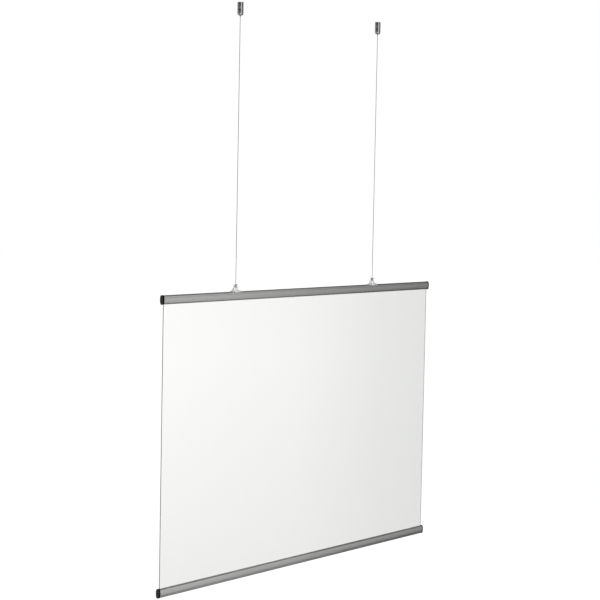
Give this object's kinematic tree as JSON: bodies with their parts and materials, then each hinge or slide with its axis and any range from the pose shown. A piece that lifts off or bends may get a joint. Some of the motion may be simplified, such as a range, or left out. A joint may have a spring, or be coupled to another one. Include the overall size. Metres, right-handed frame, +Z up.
{
  "type": "hanging room divider panel",
  "caption": "Clear flat sheet between oval aluminium snap rails with black end caps, hung level from the ceiling on thin steel cables with clear hangers and chrome fittings.",
  "frame": {"origin": "on the ceiling plane, midway between the fixing holes of the two ceiling fittings", "axes": "+Z up into the ceiling, +X along the panel's width, -Y towards the panel's front, the side of the rails' snap covers"},
  "size_m": [1.2, 0.0164, 1.5845],
  "materials": {
    "chrome": "polished chrome plate",
    "plain_steel": "plain turned steel",
    "dark_steel": "blackened steel",
    "cable_steel": "stranded galvanised steel",
    "clear_hanger": "clear moulded plastic",
    "satin_aluminium": "satin anodised, drawn along its length",
    "black_cap": "black moulded plastic",
    "clear_sheet": "clear polished acrylic"
  },
  "bodies": {
    "ceiling_fittings": {"ceiling_base_left": "chrome", "ceiling_base_right": "chrome", "coupler_left": "chrome", "coupler_right": "chrome", "ball_nut_left": "chrome", "ball_nut_right": "chrome"},
    "clamp_balls": {"clamp_ball_left": "plain_steel", "clamp_ball_right": "plain_steel", "clamp_screw_left": "dark_steel", "clamp_screw_right": "dark_steel", "cable_tail_left": "cable_steel", "cable_tail_right": "cable_steel"},
    "left_cable": {"clamp_stem_left": "plain_steel", "cable_left": "cable_steel"},
    "right_cable": {"clamp_stem_right": "plain_steel", "cable_right": "cable_steel"},
    "cable_balls": {"cable_ball_left": "dark_steel", "cable_ball_right": "dark_steel"},
    "hangers": {"hanger_left": "clear_hanger", "hanger_right": "clear_hanger"},
    "panel": {"top_rail_back": "satin_aluminium", "bottom_rail_back": "satin_aluminium", "panel_sheet": "clear_sheet", "cap_top_left": "black_cap", "cap_top_right": "black_cap", "cap_bottom_left": "black_cap", "cap_bottom_right": "black_cap"},
    "top_cover": {"top_rail_front": "satin_aluminium"},
    "bottom_cover": {"bottom_rail_front": "satin_aluminium"}
  },
  "joints": [
    {"name": "swing", "type": "hinge", "parent": "ceiling_fittings", "child": "clamp_balls", "pos_m": [0, 0, -0.029], "axis": [1, 0, 0], "range_deg": [-12, 12]},
    {"name": "sway", "type": "hinge", "parent": "clamp_balls", "child": "left_cable", "pos_m": [-0.31, 0, -0.029], "axis": [0, 1, 0], "range_deg": [-8, 8]},
    {"name": "sway_right", "type": "hinge", "parent": "clamp_balls", "child": "right_cable", "pos_m": [0.31, 0, -0.029], "axis": [0, 1, 0], "range_deg": [-8, 8]},
    {"name": "stay_level", "type": "hinge", "parent": "left_cable", "child": "cable_balls", "pos_m": [-0.31, 0, -0.7706], "axis": [0, 1, 0], "range_deg": [-8, 8]},
    {"name": "tilt", "type": "hinge", "parent": "cable_balls", "child": "hangers", "pos_m": [0, 0, -0.7706], "axis": [1, 0, 0], "range_deg": [-15, 15]},
    {"name": "panel_slide", "type": "slide", "parent": "hangers", "child": "panel", "axis": [1, 0, 0], "range_m": [-0.26, 0.26]},
    {"name": "top_cover_snap", "type": "hinge", "parent": "panel", "child": "top_cover", "pos_m": [0, -0.00335, -0.792], "axis": [-1, 0, 0], "range_deg": [0, 40]},
    {"name": "bottom_cover_snap", "type": "hinge", "parent": "panel", "child": "bottom_cover", "pos_m": [0, -0.00335, -1.576], "axis": [1, 0, 0], "range_deg": [0, 40]}
  ],
  "couplings": [
    {"joint": "sway_right", "follows": "sway", "ratio": 1},
    {"joint": "stay_level", "follows": "sway", "ratio": -1}
  ]
}
